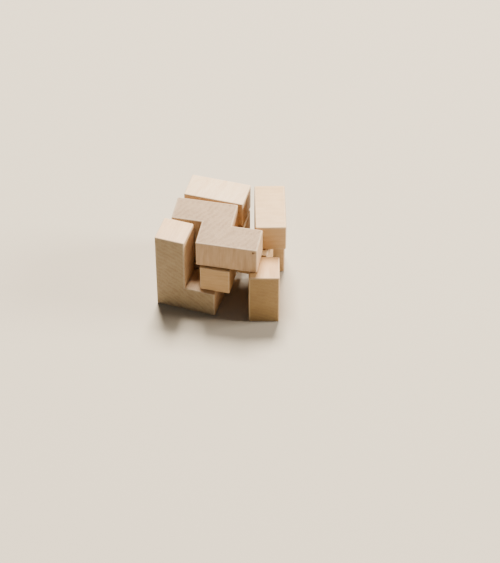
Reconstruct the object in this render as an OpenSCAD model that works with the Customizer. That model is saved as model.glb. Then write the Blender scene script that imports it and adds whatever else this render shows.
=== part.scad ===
// Seven-piece wooden cube puzzle, pulled a little apart on its rest surface.
// Every piece is sawn from one block and is made of equal cubes, three or four of
// them. The pieces fill a block of 3 x 3 x 3 cubes when the puzzle is solved.

/* [Wood] */
// Pitch of the cubes that the pieces are made of
pitch = 20; // [12:0.5:40]
// Clearance between one piece and the next in the solved cube
fit = 0.2; // [0.1:0.05:0.6]
// Width of the eased edges
ease = 0.9; // [0.3:0.1:1.5]

/* [Arrangement] */
// Put the pieces together as the solved cube
solved = false; // [false, true]
// Left piece: place of its corner in cubes, and its turn in degrees
left_at = [-3.04, -0.99, -17.6]; // [-30:0.001:30]
// Top piece: place of its corner in cubes, and its turn in degrees
top_at = [-2.715, -1.045, -10.9]; // [-30:0.001:30]
// Core piece: place of its corner in cubes, and its turn in degrees
core_at = [-1.62, -1.33, -13]; // [-30:0.001:30]
// Front piece: how far right its corner is, in cubes
front_right = -0.045; // [-6:0.005:6]
// Front piece: gap between its upright and the core's stem behind it, in cubes
front_gap = 0.0367; // [0.01:0.0001:1]
// Right piece: place of its corner in cubes, and its turn in degrees
right_at = [0.175, -0.55, 1]; // [-30:0.001:30]
// Rear twisted piece: place of its corner in cubes, and its turn in degrees
rear_at = [-2.15, 1.045, -15.4]; // [-30:0.001:30]
// Base piece: place of its corner in cubes, and its turn in degrees
base_at = [-2.76, 0.03, -16.5]; // [-30:0.001:30]

/* [Hidden] */

// Side of one finished cube
side = pitch - fit;
// How far a cutting profile runs past the wood
over = 1;

// A piece is a list of bars or slabs, each given by its first and last cube.
CORE = [[[0, 0, 1], [0, 2, 1]], [[0, 1, 1], [1, 1, 1]]];
LEFT = [[[0, 0, 0], [0, 0, 2]], [[0, 0, 0], [1, 0, 0]]];
TOP = [[[1, 0, 2], [2, 0, 2]], [[1, 0, 2], [1, 1, 2]], [[0, 1, 2], [1, 1, 2]]];
FRONT = [[[0, 0, 0], [0, 0, 1]], [[0, 0, 0], [0, 1, 0]]];
RIGHT = [[[0, 1, 0], [0, 1, 2]], [[0, 0, 2], [0, 1, 2]]];
REAR = [[[0, 0, 2], [1, 0, 2]], [[0, 0, 1], [0, 0, 2]], [[0, -1, 1], [0, 0, 1]]];
BASE = [[[0, 0, 0], [1, 1, 0]]];

// Where each piece's own corner cube sits in the solved cube
left_home = [0, 0, 0];
top_home = [0, 0, 0];
core_home = [1, 0, 0];
front_home = [2, 0, 0];
right_home = [2, 1, 0];
rear_home = [0, 2, 0];
base_home = [0, 1, 0];

// Place and turn that are in use
function now(home, loose) = solved ? home : loose;

// A point of a piece turned and moved to its place, seen from above
function placed(p, at) = [
    at[0] * pitch + p[0] * cos(at[2]) - p[1] * sin(at[2]),
    at[1] * pitch + p[0] * sin(at[2]) + p[1] * cos(at[2])
];

// Corner of the core's stem that points to the front
stem_corner = placed([pitch + side, pitch], core_at);

// The front piece stands just in front of that corner
front_at = [front_right, (stem_corner[1] - side) / pitch - front_gap, 0];

// Outline corners of one bar seen from above, with its eased edges
function outline(bar) =
    let (a = bar[0] * pitch, b = bar[1] * pitch + [side, side, side])
    [[a[0] + ease, a[1]], [b[0] - ease, a[1]], [b[0], a[1] + ease], [b[0], b[1] - ease],
     [b[0] - ease, b[1]], [a[0] + ease, b[1]], [a[0], b[1] - ease], [a[0], a[1] + ease]];

function plan(bars, at) = [for (bar = bars) for (p = outline(bar)) placed(p, at)];

ALL_POINTS = concat(
    plan(CORE, now(core_home, core_at)),
    plan(LEFT, now(left_home, left_at)),
    plan(TOP, now(top_home, top_at)),
    plan(FRONT, now(front_home, front_at)),
    plan(RIGHT, now(right_home, right_at)),
    plan(REAR, now(rear_home, rear_at)),
    plan(BASE, now(base_home, base_at)));

// Middle of the whole arrangement seen from above, which is the part's origin
middle = [for (i = [0, 1])
    (min([for (p = ALL_POINTS) p[i]]) + max([for (p = ALL_POINTS) p[i]])) / 2];

// Rectangle of w by h with its corners cut off at 45 degrees
module eased_rectangle(w, h) {
    polygon([[ease, 0], [w - ease, 0], [w, ease], [w, h - ease],
             [w - ease, h], [ease, h], [0, h - ease], [0, ease]]);
}

// Block with all twelve edges eased, its low corner at the origin
module eased_block(size) {
    intersection() {
        translate([0, 0, -over])
            linear_extrude(size[2] + 2 * over)
            eased_rectangle(size[0], size[1]);
        translate([0, size[1] + over, 0])
            rotate([90, 0, 0])
            linear_extrude(size[1] + 2 * over)
            eased_rectangle(size[0], size[2]);
        translate([-over, 0, 0])
            rotate([90, 0, 90])
            linear_extrude(size[0] + 2 * over)
            eased_rectangle(size[1], size[2]);
    }
}

// One piece: its bars joined, turned and moved to its place
module piece(bars, at) {
    translate([at[0] * pitch - middle[0], at[1] * pitch - middle[1], 0])
        rotate([0, 0, at[2]])
        union() {
            for (bar = bars)
                translate(bar[0] * pitch)
                    eased_block((bar[1] - bar[0]) * pitch + [side, side, side]);
        }
}

// T-shaped piece lying in the middle layer, which the other pieces lock in
module core_t_piece() {
    color("#d9b98c") piece(CORE, now(core_home, core_at));
}

// L-shaped piece at the left, standing with its foot under the core
module left_l_piece() {
    color("#c8a783") piece(LEFT, now(left_home, left_at));
}

// Flat Z-shaped piece lying on top
module top_z_piece() {
    color("#cdb092") piece(TOP, now(top_home, top_at));
}

// V-shaped piece at the front right, with a low arm towards the back
module front_v_piece() {
    color("#c9a478") piece(FRONT, now(front_home, front_at));
}

// L-shaped piece at the right, with its arm over the core
module right_l_piece() {
    color("#dcb483") piece(RIGHT, now(right_home, right_at));
}

// Twisted piece at the back, in the two upper layers
module rear_screw_piece() {
    color("#e6cba4") piece(REAR, now(rear_home, rear_at));
}

// Square slab of four cubes, low at the back under the rear and core pieces
module base_square_piece() {
    color("#d8b488") piece(BASE, now(base_home, base_at));
}

core_t_piece();
left_l_piece();
top_z_piece();
front_v_piece();
right_l_piece();
rear_screw_piece();
base_square_piece();
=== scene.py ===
"""Looks of the seven-piece wooden cube puzzle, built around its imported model.

Each piece is grown cube by cube from one primitive, its outer edges are eased, and
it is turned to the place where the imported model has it. All lengths are metres.
"""

import math
import bpy
from mathutils import Matrix, Vector


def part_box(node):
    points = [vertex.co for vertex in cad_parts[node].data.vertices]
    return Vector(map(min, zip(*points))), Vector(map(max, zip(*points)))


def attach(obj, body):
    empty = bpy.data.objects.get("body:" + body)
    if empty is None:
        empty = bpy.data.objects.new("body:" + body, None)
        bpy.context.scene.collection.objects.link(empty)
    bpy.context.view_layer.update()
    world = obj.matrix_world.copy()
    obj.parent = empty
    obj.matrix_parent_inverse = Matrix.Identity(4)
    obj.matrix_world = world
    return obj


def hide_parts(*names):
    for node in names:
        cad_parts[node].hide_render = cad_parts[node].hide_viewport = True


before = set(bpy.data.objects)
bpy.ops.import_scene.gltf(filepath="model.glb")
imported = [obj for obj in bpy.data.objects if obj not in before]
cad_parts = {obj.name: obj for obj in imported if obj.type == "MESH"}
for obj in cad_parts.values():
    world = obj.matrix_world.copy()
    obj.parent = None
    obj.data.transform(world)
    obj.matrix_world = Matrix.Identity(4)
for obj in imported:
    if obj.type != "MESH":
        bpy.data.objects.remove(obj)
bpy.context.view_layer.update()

# ---------------------------------------------------------------- sizes


def height(node):
    low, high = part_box(node)
    return high.z - low.z


SIDE = height("top_z_piece")                    # one finished cube
PITCH = height("front_v_piece") - SIDE          # from one cube to the next
FIT = PITCH - SIDE                              # clearance of the solved cube
EASE = 0.00105                                  # radius of the eased edges
EASE_SPREAD = 0.2                               # how much less some edges are eased
EASE_STEPS = 5                                  # facets across an eased edge
NEAR = SIDE / 20                                # how near a place has to be to match
ALIKE = 0.99                                    # how nearly two directions agree
FLAT = 0.995                                    # the same, for a face that isn't eased

RIGHT = Vector((1, 0, 0))
BACK = Vector((0, 1, 0))
UP = Vector((0, 0, 1))


# ---------------------------------------------------------------- pieces
# "first" is the cube that the primitive makes, "grow" the cubes added to it, each
# as the cube that it grows from and the way it grows. "grain" is the way the
# fibres run and "rings" the way across the year rings, both in the piece's own
# frame before it is turned. "figure" is how strong the rings are on the end grain.

PIECES = {
    "core_t_piece": dict(
        first=(0, 0, 1), slot="warm_hardwood",
        grow=[((0, 0, 1), BACK), ((0, 1, 1), BACK), ((0, 1, 1), RIGHT)],
        grain=(1, 0.1, 0.05), rings=(0, 0.5, 1), spacing=0.0026, wander=6.0,
        light=(0.57, 0.37, 0.18), dark=(0.43, 0.26, 0.11),
        end=(0.92, 0.90, 0.88), figure=0.50, shift=0.31),
    "left_l_piece": dict(
        first=(0, 0, 0), slot="tan_hardwood",
        grow=[((0, 0, 0), UP), ((0, 0, 1), UP), ((0, 0, 0), RIGHT)],
        grain=(0.05, 1, 0.03), rings=(0.74, 0, 0.67), spacing=0.0031, wander=8.0,
        light=(0.62, 0.41, 0.22), dark=(0.42, 0.26, 0.14),
        end=(0.62, 0.72, 0.80), figure=0.42, shift=0.12),
    "top_z_piece": dict(
        first=(1, 0, 2), slot="tan_hardwood",
        grow=[((1, 0, 2), RIGHT), ((1, 0, 2), BACK), ((1, 1, 2), -RIGHT)],
        grain=(0.04, 0.03, 1), rings=(0.91, -0.41, 0), spacing=0.0036, wander=9.0,
        light=(0.55, 0.37, 0.21), dark=(0.36, 0.22, 0.12),
        end=(0.54, 0.56, 0.58), figure=0.44, shift=0.55),
    "front_v_piece": dict(
        first=(0, 0, 0), slot="warm_hardwood",
        grow=[((0, 0, 0), UP), ((0, 0, 0), BACK)],
        grain=(0.06, 1, 0.05), rings=(0.12, 0, 1), spacing=0.0028, wander=4.0,
        light=(0.49, 0.28, 0.11), dark=(0.36, 0.19, 0.08),
        end=(0.72, 0.82, 0.84), figure=0.26, shift=0.77),
    "right_l_piece": dict(
        first=(0, 1, 2), slot="pale_hardwood",
        grow=[((0, 1, 2), -BACK), ((0, 1, 2), -UP), ((0, 1, 1), -UP)],
        grain=(1, 0.04, 0.05), rings=(0, 1, 0.35), spacing=0.0030, wander=4.0,
        light=(0.56, 0.37, 0.18), dark=(0.43, 0.26, 0.12),
        end=(0.80, 0.78, 0.76), figure=0.50, shift=0.93),
    "rear_screw_piece": dict(
        first=(0, 0, 2), slot="pale_hardwood",
        grow=[((0, 0, 2), RIGHT), ((0, 0, 2), -UP), ((0, 0, 1), -BACK)],
        grain=(0.25, 1, 0.05), rings=(1, -0.2, 0.5), spacing=0.0034, wander=7.0,
        light=(0.65, 0.48, 0.29), dark=(0.52, 0.33, 0.17),
        end=(0.80, 0.78, 0.76), figure=0.55, shift=0.43),
    "base_square_piece": dict(
        first=(0, 0, 0), slot="warm_hardwood",
        grow=[((0, 0, 0), RIGHT)], widen=BACK,
        grain=(1, 0.05, 0.04), rings=(0, 0.3, 1), spacing=0.0027, wander=4.0,
        light=(0.58, 0.39, 0.20), dark=(0.46, 0.29, 0.14),
        end=(0.86, 0.84, 0.82), figure=0.50, shift=0.66),
}


def turn_of(node):
    """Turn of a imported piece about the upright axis, from its widest upright faces."""
    shares = {}
    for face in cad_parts[node].data.polygons:
        if abs(face.normal.z) < 0.01:
            angle = math.degrees(math.atan2(face.normal.y, face.normal.x))
            angle = (angle + 45) % 90 - 45      # all four sides of a square count alike
            key = round(angle, 1)
            area, total = shares.get(key, (0, 0))
            shares[key] = (area + face.area, total + face.area * angle)
    area, total = max(shares.values())
    return math.radians(total / area)


def own_corner(node, turn):
    """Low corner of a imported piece's box once it is turned back to its own frame."""
    back = Matrix.Rotation(-turn, 3, "Z")
    points = [back @ v.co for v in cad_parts[node].data.vertices]
    return Vector([min(p[i] for p in points) for i in range(3)])


def cube_middle(cube):
    return Vector(cube) * PITCH + Vector((SIDE, SIDE, SIDE)) / 2


def start_clean():
    """Back to object mode with nothing selected."""
    if bpy.context.object and bpy.context.object.mode != "OBJECT":
        bpy.ops.object.mode_set(mode="OBJECT")
    bpy.ops.object.select_all(action="DESELECT")


def pick_face(piece, middle, way):
    """Selects, in edit mode, the one face that looks along way and lies at middle."""
    bpy.ops.mesh.select_all(action="DESELECT")
    bpy.ops.object.mode_set(mode="OBJECT")
    for face in piece.data.polygons:
        if face.normal.dot(way) > ALIKE and (face.center - middle).length < NEAR:
            face.select = True
    bpy.ops.object.mode_set(mode="EDIT")


def grow(piece, cube, way):
    """Adds a cube: first the clearance strip, then the cube itself."""
    pick_face(piece, cube_middle(cube) + way * SIDE / 2, way)
    for step in (FIT, SIDE):
        bpy.ops.mesh.extrude_region_move(
            TRANSFORM_OT_translate={"value": way * step})


def widen(piece, way):
    """Doubles a bar into a slab by growing the whole side that looks along way."""
    bpy.ops.mesh.select_all(action="DESELECT")
    bpy.ops.object.mode_set(mode="OBJECT")
    for face in piece.data.polygons:
        face.select = face.normal.dot(way) > ALIKE
    bpy.ops.object.mode_set(mode="EDIT")
    bpy.ops.mesh.extrude_region_move(
        TRANSFORM_OT_translate={"value": way * PITCH})


def outer_edges(mesh):
    """Edges where two faces meet outwards; an inner corner turns the other way."""
    normals = {}
    for face in mesh.polygons:
        for key in face.edge_keys:
            normals.setdefault(key, []).append(face.normal)
    outer = set()
    for face in mesh.polygons:
        ring = list(face.vertices)
        for start, end in zip(ring, ring[1:] + ring[:1]):
            along = mesh.vertices[end].co - mesh.vertices[start].co
            inward = face.normal.cross(along)
            key = (min(start, end), max(start, end))
            if any(inward.dot(normal) < -NEAR / 2 for normal in normals[key]):
                outer.add(key)
    return outer


def ease_edges(piece, seed):
    """Rounds the outer edges, each a little differently, and leaves inner corners."""
    mesh = piece.data
    weights = mesh.attributes.new("bevel_weight_edge", "FLOAT", "EDGE")
    outer = outer_edges(mesh)
    for edge in mesh.edges:
        if edge.key in outer:
            wave = math.sin(seed * 40 + edge.index * 2.4)
            weights.data[edge.index].value = 1 - EASE_SPREAD * (0.5 + 0.5 * wave)
    bevel = piece.modifiers.new("eased", "BEVEL")
    bevel.limit_method = "WEIGHT"
    bevel.width = EASE
    bevel.segments = EASE_STEPS
    bevel.use_clamp_overlap = False
    bevel.miter_outer = "MITER_SHARP"
    bpy.ops.object.modifier_apply(modifier=bevel.name)


def mark_eased(piece):
    """Marks, for the wood's painted edge highlight, the faces that lean away from the
    piece's own axes.
    """
    mark = piece.data.attributes.new("eased", "FLOAT", "FACE")
    for face in piece.data.polygons:
        straight = max(abs(part) for part in face.normal)
        mark.data[face.index].value = 1 if straight < FLAT else 0


def build(node, plan):
    start_clean()
    first = plan["first"]
    bpy.ops.mesh.primitive_cube_add(size=SIDE, location=cube_middle(first))
    piece = bpy.context.object
    piece.name = node + "_wood"
    piece.data.name = piece.name
    bpy.ops.object.transform_apply(location=True, rotation=True, scale=True)
    bpy.ops.object.mode_set(mode="EDIT")
    bpy.context.tool_settings.mesh_select_mode = (False, False, True)
    for cube, way in plan["grow"]:
        grow(piece, cube, way)
    if "widen" in plan:
        widen(piece, plan["widen"])
    bpy.ops.mesh.select_all(action="SELECT")
    bpy.ops.mesh.dissolve_limited(angle_limit=math.radians(1))
    bpy.ops.object.mode_set(mode="OBJECT")
    ease_edges(piece, plan["shift"])
    mark_eased(piece)
    bpy.ops.object.shade_smooth_by_angle(angle=math.radians(35))

    turn = turn_of(node)
    low = Vector([min(v.co[i] for v in piece.data.vertices) for i in range(3)])
    place = Matrix.Translation(own_corner(node, turn) - low)
    piece.data.transform(Matrix.Rotation(turn, 4, "Z") @ place)
    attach(piece, node)
    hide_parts(node)
    return piece, turn


# ---------------------------------------------------------------- wood

FLECK_BROWN = (0.42, 0.24, 0.12)
# cream painted onto the eased edges as a highlight, standing in for light catching the
# rounded edges
PAINTED_HIGHLIGHT_CREAM = (0.72, 0.60, 0.45)
MARK_BROWN = (0.09, 0.035, 0.012)

# How much each trait darkens or tints the wood, and how strongly the painted edge
# highlight shows, from 0 to 1
SIDE_FIGURE = 0.45          # rings off the end grain, as a share of those on it
FIBRE_SHADE = 0.30
BLOTCH_SHADE = 0.26
FLECK_TINT = 0.42
PORE_TINT = 0.22
# strength of the painted highlight on the eased edges
EDGE_HIGHLIGHT_PAINT = 0.2

ROUGH_WOOD = 0.50           # roughness of the smoothest wood
ROUGHER_FIBRES = 0.12
ROUGHER_ENDS = 0.12
WOOD_GLOSS = 0.35
GRAIN_RELIEF = 0.00006      # depth of the grain, in metres
RELIEF_STRENGTH = 0.35
HEART_AWAY = 0.11           # how far off the middle of the year rings lies
WAVE_PERIOD = math.tau / 20     # spacing of a ring texture whose scale is 1


def new_group(name, inputs, outputs):
    group = bpy.data.node_groups.new(name, "ShaderNodeTree")
    for label, kind, value in inputs:
        socket = group.interface.new_socket(label, in_out="INPUT", socket_type=kind)
        if value is not None:
            socket.default_value = value
    for label, kind in outputs:
        group.interface.new_socket(label, in_out="OUTPUT", socket_type=kind)
    return group, group.nodes.new("NodeGroupInput"), group.nodes.new("NodeGroupOutput")


def add(tree, kind, **settings):
    node = tree.nodes.new(kind)
    for key, value in settings.items():
        setattr(node, key, value)
    return node


def sums(tree, operation, a, b=None):
    """A Math node whose inputs are sockets or plain numbers."""
    node = add(tree, "ShaderNodeMath", operation=operation)
    for socket, value in zip(node.inputs, (a, b)):
        if value is None:
            continue
        if isinstance(value, (int, float)):
            socket.default_value = value
        else:
            tree.links.new(value, socket)
    return node.outputs[0]


def stretched_noise(tree, vector, along, across, detail=3.0, rough=0.55):
    """Noise with so many grains to the metre along the fibres and across them."""
    scaled = add(tree, "ShaderNodeVectorMath", operation="MULTIPLY")
    scaled.inputs[1].default_value = (along, across, across)
    tree.links.new(vector, scaled.inputs[0])
    noise = add(tree, "ShaderNodeTexNoise")
    noise.inputs["Scale"].default_value = 1
    noise.inputs["Detail"].default_value = detail
    noise.inputs["Roughness"].default_value = rough
    tree.links.new(scaled.outputs[0], noise.inputs["Vector"])
    return noise.outputs["Fac"]


def ramp(tree, value, low, high):
    node = add(tree, "ShaderNodeMapRange", interpolation_type="SMOOTHSTEP")
    node.inputs["From Min"].default_value = low
    node.inputs["From Max"].default_value = high
    tree.links.new(value, node.inputs["Value"])
    return node.outputs["Result"]


def grain_group():
    """Year rings, fibres, short flecks and blotches, each from 0 to 1.

    Vector lies with X along the fibres and Z across the rings."""
    group, inlet, outlet = new_group(
        "hardwood_grain",
        [("Vector", "NodeSocketVector", None),
         ("Ring Spacing", "NodeSocketFloat", 0.0025),
         ("Wander", "NodeSocketFloat", 1.5)],
        [("Rings", "NodeSocketFloat"), ("Fibres", "NodeSocketFloat"),
         ("Flecks", "NodeSocketFloat"), ("Blotches", "NodeSocketFloat")])
    vector = inlet.outputs["Vector"]

    heart = add(group, "ShaderNodeVectorMath", operation="ADD")
    heart.inputs[1].default_value = (0, 0, HEART_AWAY)
    group.links.new(vector, heart.inputs[0])
    wave = add(group, "ShaderNodeTexWave", wave_type="RINGS", rings_direction="X",
               wave_profile="SIN")
    wave.inputs["Detail"].default_value = 4
    wave.inputs["Detail Scale"].default_value = 0.8
    wave.inputs["Detail Roughness"].default_value = 0.6
    group.links.new(heart.outputs[0], wave.inputs["Vector"])
    scale = sums(group, "DIVIDE", WAVE_PERIOD, inlet.outputs["Ring Spacing"])
    group.links.new(scale, wave.inputs["Scale"])
    group.links.new(inlet.outputs["Wander"], wave.inputs["Distortion"])

    fibres = stretched_noise(group, vector, 55, 1500)
    group.links.new(ramp(group, fibres, 0.3, 0.7), outlet.inputs["Fibres"])
    flecks = stretched_noise(group, vector, 330, 1900, detail=1)
    group.links.new(ramp(group, flecks, 0.62, 0.74), outlet.inputs["Flecks"])
    blotches = ramp(group, stretched_noise(group, vector, 70, 190, detail=2), 0.3, 0.7)
    group.links.new(blotches, outlet.inputs["Blotches"])
    strength = sums(group, "ADD", 0.45, sums(group, "MULTIPLY", blotches, 0.55))
    rings = sums(group, "MULTIPLY", wave.outputs["Fac"], strength)
    group.links.new(rings, outlet.inputs["Rings"])
    return group


def end_grain_group():
    """How much a face cuts across the fibres, and the pores that show there."""
    group, inlet, outlet = new_group(
        "end_grain",
        [("Vector", "NodeSocketVector", None),
         ("Normal", "NodeSocketVector", None),
         ("Fibre Way", "NodeSocketVector", (1, 0, 0))],
        [("End", "NodeSocketFloat"), ("Pores", "NodeSocketFloat")])
    across = add(group, "ShaderNodeVectorMath", operation="DOT_PRODUCT")
    group.links.new(inlet.outputs["Normal"], across.inputs[0])
    group.links.new(inlet.outputs["Fibre Way"], across.inputs[1])
    end = ramp(group, sums(group, "ABSOLUTE", across.outputs["Value"]), 0.45, 0.9)
    group.links.new(end, outlet.inputs["End"])
    pores = stretched_noise(group, inlet.outputs["Vector"], 900, 2600, detail=1)
    pores = ramp(group, pores, 0.5, 0.68)
    group.links.new(sums(group, "MULTIPLY", pores, end), outlet.inputs["Pores"])
    return group


def dark_mark_group():
    """A small dark mark: 1 within Size of Place, with a ragged edge."""
    group, inlet, outlet = new_group(
        "dark_mark",
        [("Vector", "NodeSocketVector", None),
         ("Place", "NodeSocketVector", (0, 0, 0)),
         ("Stretch", "NodeSocketVector", (1, 1, 1)),
         ("Size", "NodeSocketFloat", 0.0008)],
        [("Mark", "NodeSocketFloat")])
    away = add(group, "ShaderNodeVectorMath", operation="SUBTRACT")
    group.links.new(inlet.outputs["Vector"], away.inputs[0])
    group.links.new(inlet.outputs["Place"], away.inputs[1])
    shaped = add(group, "ShaderNodeVectorMath", operation="MULTIPLY")
    group.links.new(away.outputs[0], shaped.inputs[0])
    group.links.new(inlet.outputs["Stretch"], shaped.inputs[1])
    far = add(group, "ShaderNodeVectorMath", operation="LENGTH")
    group.links.new(shaped.outputs[0], far.inputs[0])
    share = sums(group, "DIVIDE", far.outputs["Value"], inlet.outputs["Size"])
    ragged = stretched_noise(group, inlet.outputs["Vector"], 1500, 1500, detail=2)
    share = sums(group, "ADD", share, sums(group, "SUBTRACT", ragged, 0.5))
    fade = add(group, "ShaderNodeMapRange", interpolation_type="SMOOTHSTEP")
    fade.inputs["From Min"].default_value = 1.1
    fade.inputs["From Max"].default_value = 0.5
    group.links.new(share, fade.inputs["Value"])
    group.links.new(fade.outputs["Result"], outlet.inputs["Mark"])
    return group


GRAIN = grain_group()
END_GRAIN = end_grain_group()
DARK_MARK = dark_mark_group()


def placed_group(tree, group, **values):
    node = add(tree, "ShaderNodeGroup", node_tree=group)
    for label, value in values.items():
        socket = node.inputs[label.replace("_", " ")]
        if isinstance(value, bpy.types.NodeSocket):
            tree.links.new(value, socket)
        else:
            socket.default_value = value
    return node


def blend_colours(tree, mode, amount, a, b):
    node = add(tree, "ShaderNodeMix", data_type="RGBA", blend_type=mode)
    for label, value in (("Factor_Float", amount), ("A_Color", a), ("B_Color", b)):
        socket = next(s for s in node.inputs if s.identifier == label)
        if isinstance(value, bpy.types.NodeSocket):
            tree.links.new(value, socket)
        elif isinstance(value, (int, float)):
            socket.default_value = value
        else:
            socket.default_value = (*value, 1)
    return next(s for s in node.outputs if s.identifier == "Result_Color")


def wood(node, plan, turn, marks=()):
    """One piece's sanded hardwood, with its own fibre direction and tint."""
    material = bpy.data.materials.new(node + "_hardwood")
    material.use_nodes = True
    tree = material.node_tree
    tree.nodes.clear()
    out = add(tree, "ShaderNodeOutputMaterial")
    shader = add(tree, "ShaderNodeBsdfPrincipled")
    tree.links.new(shader.outputs[0], out.inputs["Surface"])

    turned = Matrix.Rotation(turn, 3, "Z")
    fibres = (turned @ Vector(plan["grain"])).normalized()
    rings = turned @ Vector(plan["rings"])
    rings = (rings - fibres * rings.dot(fibres)).normalized()
    side = rings.cross(fibres)
    lie = Matrix((fibres, side, rings))

    place = add(tree, "ShaderNodeTexCoord")
    mapping = add(tree, "ShaderNodeMapping", vector_type="POINT")
    mapping.inputs["Rotation"].default_value = lie.to_euler("XYZ")
    mapping.inputs["Location"].default_value = (plan["shift"], 0, 0)
    tree.links.new(place.outputs["Object"], mapping.inputs["Vector"])
    vector = mapping.outputs["Vector"]

    grain = placed_group(tree, GRAIN, Vector=vector, Ring_Spacing=plan["spacing"],
                         Wander=plan["wander"])
    ends = placed_group(tree, END_GRAIN, Vector=vector, Fibre_Way=fibres,
                        Normal=place.outputs["Normal"])

    figure = sums(tree, "MULTIPLY", ends.outputs["End"], 1 - SIDE_FIGURE)
    figure = sums(tree, "MULTIPLY", sums(tree, "ADD", figure, SIDE_FIGURE), plan["figure"])
    depth = sums(tree, "MULTIPLY", grain.outputs["Rings"], figure)
    depth = sums(tree, "ADD", depth,
                 sums(tree, "MULTIPLY", grain.outputs["Fibres"], FIBRE_SHADE))
    depth = sums(tree, "ADD", depth,
                 sums(tree, "MULTIPLY", grain.outputs["Blotches"], BLOTCH_SHADE))
    colour = blend_colours(tree, "MIX", depth, plan["light"], plan["dark"])
    fleck = sums(tree, "MULTIPLY", grain.outputs["Flecks"], FLECK_TINT)
    colour = blend_colours(tree, "MIX", fleck, colour, FLECK_BROWN)
    colour = blend_colours(tree, "MULTIPLY", ends.outputs["End"], colour, plan["end"])
    pores = sums(tree, "MULTIPLY", ends.outputs["Pores"], PORE_TINT)
    colour = blend_colours(tree, "MIX", pores, colour, FLECK_BROWN)
    # painted highlight: the eased faces are mixed towards cream, standing in for light
    # catching the rounded edges
    eased = add(tree, "ShaderNodeAttribute", attribute_name="eased")
    painted_edge_highlight = sums(tree, "MULTIPLY", eased.outputs["Fac"], EDGE_HIGHLIGHT_PAINT)
    colour = blend_colours(tree, "MIX", painted_edge_highlight, colour, PAINTED_HIGHLIGHT_CREAM)
    for spot, stretch, size, strength in marks:
        mark = placed_group(tree, DARK_MARK, Vector=place.outputs["Object"],
                            Place=spot, Stretch=stretch, Size=size)
        amount = sums(tree, "MULTIPLY", mark.outputs["Mark"], strength)
        colour = blend_colours(tree, "MIX", amount, colour, MARK_BROWN)
    tree.links.new(colour, shader.inputs["Base Color"])

    rough = sums(tree, "MULTIPLY", grain.outputs["Fibres"], ROUGHER_FIBRES)
    rough = sums(tree, "ADD", rough, ROUGH_WOOD)
    rough = sums(tree, "ADD", rough,
                 sums(tree, "MULTIPLY", ends.outputs["End"], ROUGHER_ENDS))
    tree.links.new(rough, shader.inputs["Roughness"])
    shader.inputs["Specular IOR Level"].default_value = WOOD_GLOSS

    relief = sums(tree, "MULTIPLY", grain.outputs["Fibres"], 0.6)
    relief = sums(tree, "SUBTRACT", relief, grain.outputs["Flecks"])
    relief = sums(tree, "SUBTRACT", relief, ends.outputs["Pores"])
    bump = add(tree, "ShaderNodeBump")
    bump.inputs["Strength"].default_value = RELIEF_STRENGTH
    bump.inputs["Distance"].default_value = GRAIN_RELIEF
    tree.links.new(relief, bump.inputs["Height"])
    tree.links.new(bump.outputs["Normal"], shader.inputs["Normal"])
    return material


def marks_on(node, turn):
    """Small natural marks: where, how stretched, how big and how strong."""
    if node != "top_z_piece":
        return ()
    corner = Matrix.Rotation(turn, 3, "Z") @ own_corner(node, turn)

    def spot(x, y, z):
        return corner + Matrix.Rotation(turn, 3, "Z") @ Vector((x, y, z))

    pin_knot = (spot(2.86 * PITCH, 0, 0.88 * SIDE), (1, 1, 0.55), 0.0007, 0.95)
    small_knot = (spot(2.92 * PITCH, 0, 0.90 * SIDE), (1.2, 1, 0.7), 0.0005, 0.8)
    shake = (spot(1.74 * PITCH, 1.9 * PITCH, SIDE), (0.75, 0.75, 1), 0.0009, 0.35)
    return (pin_knot, small_knot, shake)


for node, plan in PIECES.items():
    piece, turn = build(node, plan)
    piece.data.materials.append(wood(node, plan, turn, marks_on(node, turn)))


# ---------------------------------------------------------------- studio

FLOOR_SIZE = 8
CAMERA_ELEVATION = 45.39    # degrees above the floor
CAMERA_AWAY = 66.21         # distance to the aim, in cube pitches
CAMERA_AIM = Vector((0.01862, -0.00158, 0))
CAMERA_LENS = 127.9         # millimetres, on a frame of FRAME_WIDTH
FRAME_WIDTH = 36
ROOM_COLOUR = (1.0, 0.97, 0.93, 1)
ROOM_STRENGTH = 0.17


def plain(name, colour, rough):
    material = bpy.data.materials.new(name)
    material.use_nodes = True
    shader = material.node_tree.nodes["Principled BSDF"]
    shader.inputs["Base Color"].default_value = (*colour, 1)
    shader.inputs["Roughness"].default_value = rough
    shader.inputs["Specular IOR Level"].default_value = 0.1
    return material


def make_floor():
    start_clean()
    bpy.ops.mesh.primitive_plane_add(size=FLOOR_SIZE)
    floor = bpy.context.object
    floor.name = "floor"
    floor.data.materials.append(plain("floor_paper", (0.42, 0.37, 0.295), 0.9))


def soft_light(name, place, aim, size, watts, colour):
    start_clean()
    bpy.ops.object.light_add(type="AREA", location=place)
    lamp = bpy.context.object
    lamp.name = name
    lamp.data.size = size
    lamp.data.energy = watts
    lamp.data.color = colour
    lamp.rotation_euler = (aim - place).to_track_quat("-Z", "Y").to_euler()


def make_camera():
    """A long lens that looks down at the puzzle from the front."""
    elevation = math.radians(CAMERA_ELEVATION)
    back = Vector((0, -math.cos(elevation), math.sin(elevation)))
    start_clean()
    bpy.ops.object.camera_add()
    camera = bpy.context.object
    camera.name = "camera"
    camera.location = CAMERA_AIM + CAMERA_AWAY * PITCH * back
    camera.rotation_euler = (math.pi / 2 - elevation, 0, 0)
    camera.data.sensor_width = FRAME_WIDTH
    camera.data.lens = CAMERA_LENS
    camera.data.clip_start = 0.01
    bpy.context.scene.camera = camera


def make_world():
    world = bpy.data.worlds.new("studio")
    world.use_nodes = True
    back = world.node_tree.nodes["Background"]
    back.inputs["Color"].default_value = ROOM_COLOUR
    back.inputs["Strength"].default_value = ROOM_STRENGTH
    bpy.context.scene.world = world


make_floor()
make_camera()
make_world()
middle = Vector((0, 0, 0.03))
soft_light("window", Vector((0.03, 1.56, 3.10)), middle, 1.0, 630, (1, 0.93, 0.83))
soft_light("side", Vector((2.85, 0.06, 1.35)), middle, 1.0, 205, (1, 0.94, 0.85))
